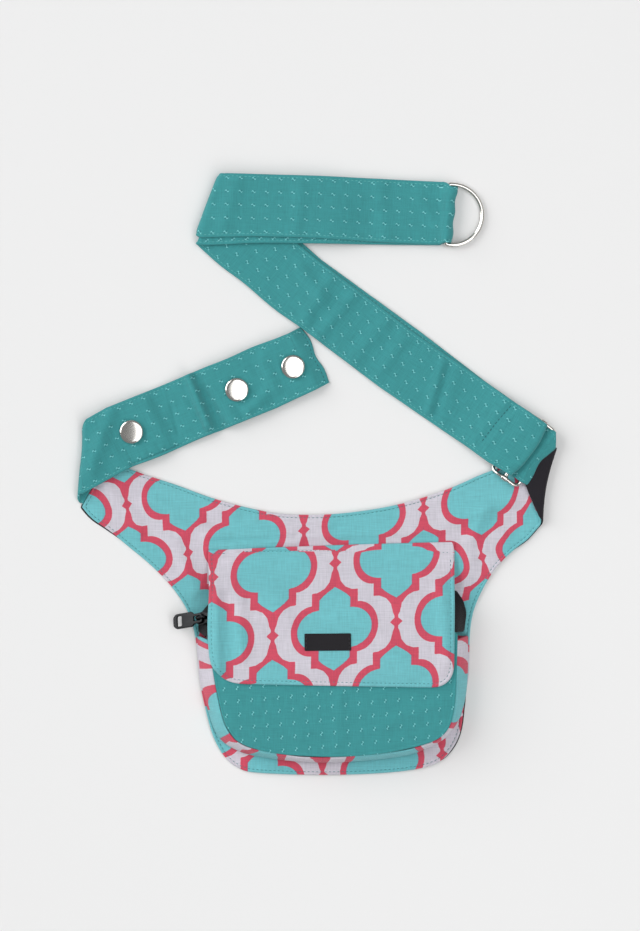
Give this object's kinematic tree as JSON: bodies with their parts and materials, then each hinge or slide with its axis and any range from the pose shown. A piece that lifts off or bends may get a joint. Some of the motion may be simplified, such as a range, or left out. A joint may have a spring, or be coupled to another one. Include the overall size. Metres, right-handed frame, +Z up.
{
  "type": "belt pouch",
  "caption": "Printed cloth belt pouch lying flat, with a zipped box pocket under a flap, a doubled adjustable strap with a ring and a short strap with press studs.",
  "frame": {"origin": "on the surface that the pouch lies on, under the middle of its outline", "axes": "+Y from the pocket towards the belt's ring end, +X towards the right wing, +Z up from the surface"},
  "size_m": [0.3092, 0.3887, 0.0217],
  "materials": {
    "printed_cloth": "plain woven cotton with a coral trellis print",
    "teal_cloth": "woven cotton with small light ticks",
    "black_cloth": "matt black weave",
    "label_cloth": "dense woven label, blank",
    "zip_coil": "black nylon coil",
    "nickel": "bright nickel plate",
    "gunmetal": "dark grey enamel"
  },
  "bodies": {
    "pouch": {"back_lining": "black_cloth", "hip_panel": "printed_cloth", "front_face": "teal_cloth", "gusset": "printed_cloth", "zip_tape": "black_cloth", "zip_coil": "zip_coil", "zip_slider": "gunmetal", "flap": "printed_cloth", "label": "label_cloth", "belt_strap": "teal_cloth", "slide_buckle": "nickel", "snap_strap": "teal_cloth", "snap_cap_1": "nickel", "snap_stud_1": "nickel", "snap_cap_2": "nickel", "snap_socket_2": "nickel", "snap_cap_3": "nickel", "snap_socket_3": "nickel"},
    "ring": {"d_ring": "nickel"},
    "pull": {"zip_pull": "gunmetal"}
  },
  "joints": [
    {"name": "ring_swing", "type": "hinge", "parent": "pouch", "child": "ring", "pos_m": [0.0836, 0.1668, 0.0033], "axis": [-0.0471, -0.9989, 0], "range_deg": [-100, 130]},
    {"name": "pull_swing", "type": "hinge", "parent": "pouch", "child": "pull", "pos_m": [-0.07443, -0.09232, 0.01421], "axis": [-0.0544, 0.9635, -0.2621], "range_deg": [0, 130]}
  ]
}
